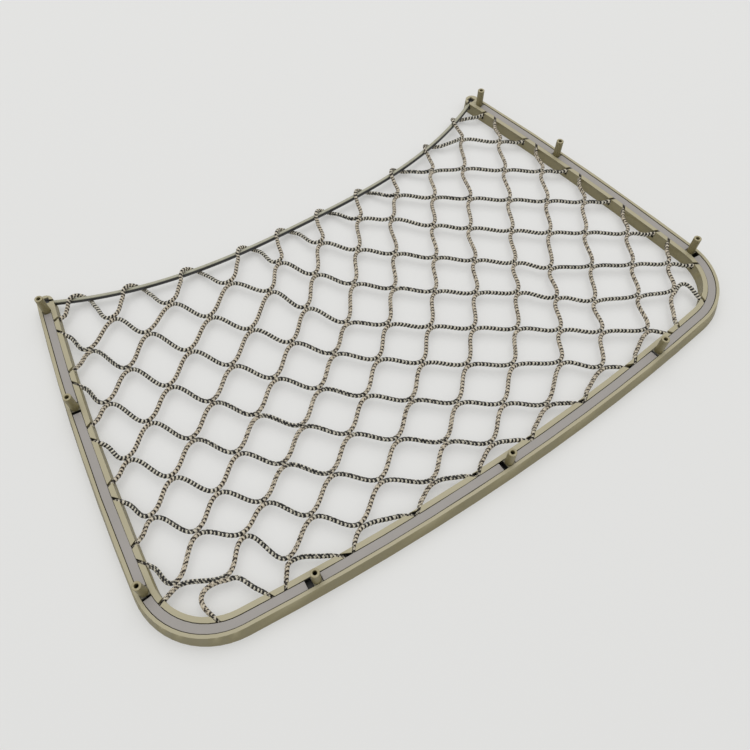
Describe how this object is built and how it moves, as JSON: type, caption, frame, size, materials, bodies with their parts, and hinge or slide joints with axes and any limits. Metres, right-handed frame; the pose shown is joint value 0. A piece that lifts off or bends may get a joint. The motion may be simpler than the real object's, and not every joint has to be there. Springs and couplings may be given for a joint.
{
  "type": "seat back mesh pocket with its moulded frame",
  "caption": "Stretched diamond cord net in a moulded U frame with hollow fixing studs and an elastic top edge, for the back of a seat.",
  "frame": {"origin": "under the middle of the whole part's box, on the surface that the pocket's front face lies on", "axes": "+X across the pocket, +Y towards its open top edge, +Z out of its back, the way the studs point"},
  "size_m": [0.4206, 0.273, 0.0211],
  "materials": {
    "frame_plastic": "beige moulded plastic, fine satin grain",
    "strip_plastic": "pale grey extruded plastic, dull",
    "net_cord": "braided round cord, cream with black flecks",
    "elastic_cord": "covered elastic cord, grey olive, slight sheen"
  },
  "bodies": {
    "root": {"frame": "frame_plastic", "net": "net_cord", "top_elastic": "elastic_cord", "strip_left_upper": "strip_plastic", "strip_left_lower": "strip_plastic", "strip_left_corner": "strip_plastic", "strip_bottom_left": "strip_plastic", "strip_bottom_right": "strip_plastic", "strip_right_corner": "strip_plastic", "strip_right_lower": "strip_plastic", "strip_right_upper": "strip_plastic"}
  },
  "joints": []
}
